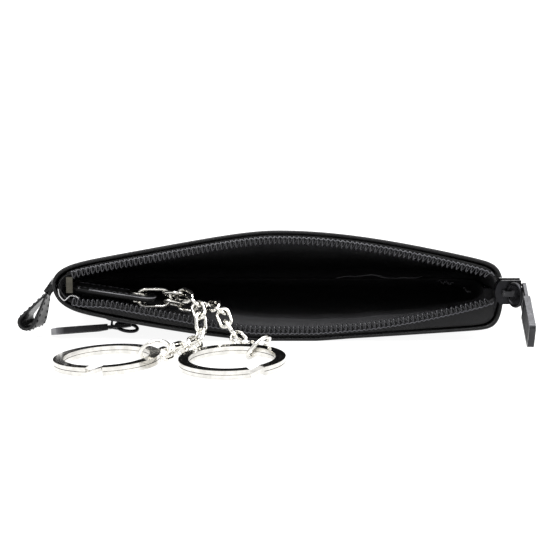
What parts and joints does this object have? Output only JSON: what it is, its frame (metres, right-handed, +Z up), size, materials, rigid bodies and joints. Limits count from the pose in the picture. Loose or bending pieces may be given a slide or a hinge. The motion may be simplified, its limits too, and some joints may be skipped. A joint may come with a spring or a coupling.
{
  "type": "key case",
  "caption": "Small black leather zip pouch with an outside zip pocket, a side loop, and chains from an inner strap that end in flat split key rings.",
  "frame": {"origin": "On the floor below the middle of the mouth: X = 0 is the middle of the leather's width, Y = 0 the front edge of the mouth, Z = 0 the plane the case rests on.", "axes": "+X to the zip's closed end along the mouth, +Y into the case, +Z up. The case lies on its back with its mouth towards -Y."},
  "size_m": [0.1285, 0.1185, 0.0282],
  "materials": {
    "leather": "semi-gloss, lightly grained",
    "strap_leather": "glossy",
    "lining": "smooth, slightly glossy",
    "coil": "satin",
    "tape": "woven",
    "dark_metal": "dark nickel, satin",
    "grey_metal": "satin",
    "insert": "fine texture",
    "stop_metal": "bare",
    "bright_steel": "polished"
  },
  "bodies": {
    "case": {"upper_panel": "leather", "lower_panel": "leather", "upper_lining": "lining", "lower_lining": "lining", "pocket_bag": "lining", "upper_tape": "tape", "lower_tape": "tape", "upper_coil": "coil", "lower_coil": "coil", "zip_tail": "tape", "top_stops": "stop_metal", "pocket_zip_tape": "tape", "pocket_zip_coil": "coil"},
    "main_slider": {"main_slider": "dark_metal", "main_crown": "grey_metal"},
    "main_pull": {"main_bail_ring": "dark_metal", "main_puller": "grey_metal", "main_puller_insert": "insert"},
    "pocket_slider": {"pocket_slider": "dark_metal", "pocket_crown": "dark_metal"},
    "pocket_pull": {"pocket_bail_ring": "dark_metal", "pocket_puller": "grey_metal", "pocket_puller_insert": "insert"},
    "side_loop": {"side_loop": "strap_leather"},
    "strap": {"inner_strap": "strap_leather", "eyelet": "bright_steel"},
    "oval_ring": {"oval_ring": "bright_steel"},
    "link_a1": {"chain_a_link_1": "bright_steel"},
    "link_a2": {"chain_a_link_2": "bright_steel"},
    "link_a3": {"chain_a_link_3": "bright_steel"},
    "link_a4": {"chain_a_link_4": "bright_steel"},
    "link_a5": {"chain_a_link_5": "bright_steel"},
    "link_a6": {"chain_a_link_6": "bright_steel"},
    "link_a7": {"chain_a_link_7": "bright_steel"},
    "link_a8": {"chain_a_link_8": "bright_steel"},
    "link_a9": {"chain_a_link_9": "bright_steel"},
    "link_a10": {"chain_a_link_10": "bright_steel"},
    "link_a11": {"chain_a_link_11": "bright_steel"},
    "jump_ring_a": {"jump_ring_a": "bright_steel"},
    "key_ring_a": {"key_ring_a": "bright_steel"},
    "link_b1": {"chain_b_link_1": "bright_steel"},
    "link_b2": {"chain_b_link_2": "bright_steel"},
    "link_b3": {"chain_b_link_3": "bright_steel"},
    "link_b4": {"chain_b_link_4": "bright_steel"},
    "link_b5": {"chain_b_link_5": "bright_steel"},
    "link_b6": {"chain_b_link_6": "bright_steel"},
    "link_b7": {"chain_b_link_7": "bright_steel"},
    "link_b8": {"chain_b_link_8": "bright_steel"},
    "link_b9": {"chain_b_link_9": "bright_steel"},
    "link_b10": {"chain_b_link_10": "bright_steel"},
    "link_b11": {"chain_b_link_11": "bright_steel"},
    "jump_ring_b": {"jump_ring_b": "bright_steel"},
    "key_ring_b": {"key_ring_b": "bright_steel"}
  },
  "joints": [
    {"name": "main_slide", "type": "slide", "parent": "case", "child": "main_slider", "axis": [-1, 0, 0], "range_m": [0, 0.05]},
    {"name": "main_pull_swing", "type": "hinge", "parent": "main_slider", "child": "main_pull", "pos_m": [0.0573, -0.00345, 0.0128], "axis": [0, 0, -1], "range_deg": [-20, 90]},
    {"name": "pocket_slide", "type": "hinge", "parent": "case", "child": "pocket_slider", "pos_m": [0.008, 0.012, 0.29], "axis": [0, -1, 0], "range_deg": [0, 15]},
    {"name": "pocket_pull_swing", "type": "hinge", "parent": "pocket_slider", "child": "pocket_pull", "pos_m": [-0.04138, 0.012, 0.00195], "axis": [0.169, 0, -0.9856], "range_deg": [-10, 12]},
    {"name": "side_loop_swing", "type": "hinge", "parent": "case", "child": "side_loop", "pos_m": [-0.05622, 0.0025, 0.013], "axis": [-0.1736, 0.9848, 0], "range_deg": [0, 40]},
    {"name": "strap_bend", "type": "hinge", "parent": "case", "child": "strap", "pos_m": [-0.0518, 0.0026, 0.0121], "axis": [0, -1, 0], "range_deg": [0, 4]},
    {"name": "oval_swing", "type": "hinge", "parent": "strap", "child": "oval_ring", "pos_m": [-0.03548, 0.0066, 0.01035], "axis": [0, -1, 0], "range_deg": [0, 4]},
    {"name": "chain_a_joint_1", "type": "hinge", "parent": "oval_ring", "child": "link_a1", "pos_m": [-0.02819, 0.0066, 0.01091], "axis": [-0.4787, -0.878, 0], "range_deg": [0, 4]},
    {"name": "chain_a_joint_2", "type": "hinge", "parent": "link_a1", "child": "link_a2", "pos_m": [-0.02487, 0.00479, 0.0113], "axis": [-0.7193, -0.6947, 0], "range_deg": [0, 4]},
    {"name": "chain_a_joint_3", "type": "hinge", "parent": "link_a2", "child": "link_a3", "pos_m": [-0.02227, 0.0021, 0.01064], "axis": [-0.8387, -0.5446, 0], "range_deg": [0, 4]},
    {"name": "chain_a_joint_4", "type": "hinge", "parent": "link_a3", "child": "link_a4", "pos_m": [-0.02028, -0.00097, 0.0096], "axis": [-0.9455, -0.3256, 0], "range_deg": [0, 4]},
    {"name": "chain_a_joint_5", "type": "hinge", "parent": "link_a4", "child": "link_a5", "pos_m": [-0.0193, -0.0038, 0.00726], "axis": [-0.9903, -0.1392, 0], "range_deg": [0, 4]},
    {"name": "chain_a_joint_6", "type": "hinge", "parent": "link_a5", "child": "link_a6", "pos_m": [-0.01907, -0.00545, 0.00384], "axis": [-0.9703, 0.2419, 0], "range_deg": [0, 4]},
    {"name": "chain_a_joint_7", "type": "hinge", "parent": "link_a6", "child": "link_a7", "pos_m": [-0.01982, -0.00843, 0.00161], "axis": [-0.9336, 0.3583, 0], "range_deg": [0, 4]},
    {"name": "chain_a_joint_8", "type": "hinge", "parent": "link_a7", "child": "link_a8", "pos_m": [-0.02118, -0.01198, 0.00161], "axis": [-0.891, 0.454, 0], "range_deg": [0, 4]},
    {"name": "chain_a_joint_9", "type": "hinge", "parent": "link_a8", "child": "link_a9", "pos_m": [-0.0229, -0.01536, 0.00161], "axis": [-0.891, 0.454, 0], "range_deg": [0, 4]},
    {"name": "chain_a_joint_10", "type": "hinge", "parent": "link_a9", "child": "link_a10", "pos_m": [-0.02463, -0.01875, 0.00161], "axis": [-0.8829, 0.4695, 0], "range_deg": [0, 4]},
    {"name": "chain_a_joint_11", "type": "hinge", "parent": "link_a10", "child": "link_a11", "pos_m": [-0.02641, -0.0221, 0.00161], "axis": [-0.9205, 0.3907, 0], "range_deg": [0, 4]},
    {"name": "jump_a_swing", "type": "hinge", "parent": "link_a11", "child": "jump_ring_a", "pos_m": [-0.0279, -0.0256, 0.00161], "axis": [-0.342, 0.9397, 0], "range_deg": [0, 8]},
    {"name": "key_ring_a_swing", "type": "hinge", "parent": "jump_ring_a", "child": "key_ring_a", "pos_m": [-0.02981, -0.0277, 0.0025], "axis": [-0.342, 0.9397, 0], "range_deg": [0, 30]},
    {"name": "chain_b_joint_1", "type": "hinge", "parent": "oval_ring", "child": "link_b1", "pos_m": [-0.02819, 0.0066, 0.00889], "axis": [0.0523, -0.9986, 0], "range_deg": [0, 4]},
    {"name": "chain_b_joint_2", "type": "hinge", "parent": "link_b1", "child": "link_b2", "pos_m": [-0.02447, 0.00679, 0.0081], "axis": [-0.2756, -0.9613, 0], "range_deg": [0, 4]},
    {"name": "chain_b_joint_3", "type": "hinge", "parent": "link_b2", "child": "link_b3", "pos_m": [-0.02083, 0.00575, 0.00783], "axis": [-0.5592, -0.829, 0], "range_deg": [0, 4]},
    {"name": "chain_b_joint_4", "type": "hinge", "parent": "link_b3", "child": "link_b4", "pos_m": [-0.0177, 0.00364, 0.00823], "axis": [-0.788, -0.6157, 0], "range_deg": [0, 4]},
    {"name": "chain_b_joint_5", "type": "hinge", "parent": "link_b4", "child": "link_b5", "pos_m": [-0.01538, 0.00067, 0.00876], "axis": [-0.9272, -0.3746, 0], "range_deg": [0, 4]},
    {"name": "chain_b_joint_6", "type": "hinge", "parent": "link_b5", "child": "link_b6", "pos_m": [-0.01398, -0.0028, 0.0081], "axis": [-0.8829, -0.4695, 0], "range_deg": [0, 4]},
    {"name": "chain_b_joint_7", "type": "hinge", "parent": "link_b6", "child": "link_b7", "pos_m": [-0.01269, -0.00521, 0.00546], "axis": [-0.7193, -0.6947, 0], "range_deg": [0, 4]},
    {"name": "chain_b_joint_8", "type": "hinge", "parent": "link_b7", "child": "link_b8", "pos_m": [-0.01067, -0.00731, 0.00302], "axis": [-0.8387, -0.5446, 0], "range_deg": [0, 4]},
    {"name": "chain_b_joint_9", "type": "hinge", "parent": "link_b8", "child": "link_b9", "pos_m": [-0.00875, -0.01027, 0.00161], "axis": [-0.9135, -0.4067, 0], "range_deg": [0, 4]},
    {"name": "chain_b_joint_10", "type": "hinge", "parent": "link_b9", "child": "link_b10", "pos_m": [-0.00721, -0.01374, 0.00161], "axis": [-0.9397, -0.342, 0], "range_deg": [0, 4]},
    {"name": "chain_b_joint_11", "type": "hinge", "parent": "link_b10", "child": "link_b11", "pos_m": [-0.00591, -0.01731, 0.00161], "axis": [-0.9511, -0.309, 0], "range_deg": [0, 4]},
    {"name": "jump_b_swing", "type": "hinge", "parent": "link_b11", "child": "jump_ring_b", "pos_m": [-0.00473, -0.02092, 0.00161], "axis": [-0.8572, 0.515, 0], "range_deg": [0, 8]},
    {"name": "key_ring_b_swing", "type": "hinge", "parent": "jump_ring_b", "child": "key_ring_b", "pos_m": [-0.0049, -0.02375, 0.0025], "axis": [-0.8572, 0.515, 0], "range_deg": [0, 30]}
  ]
}
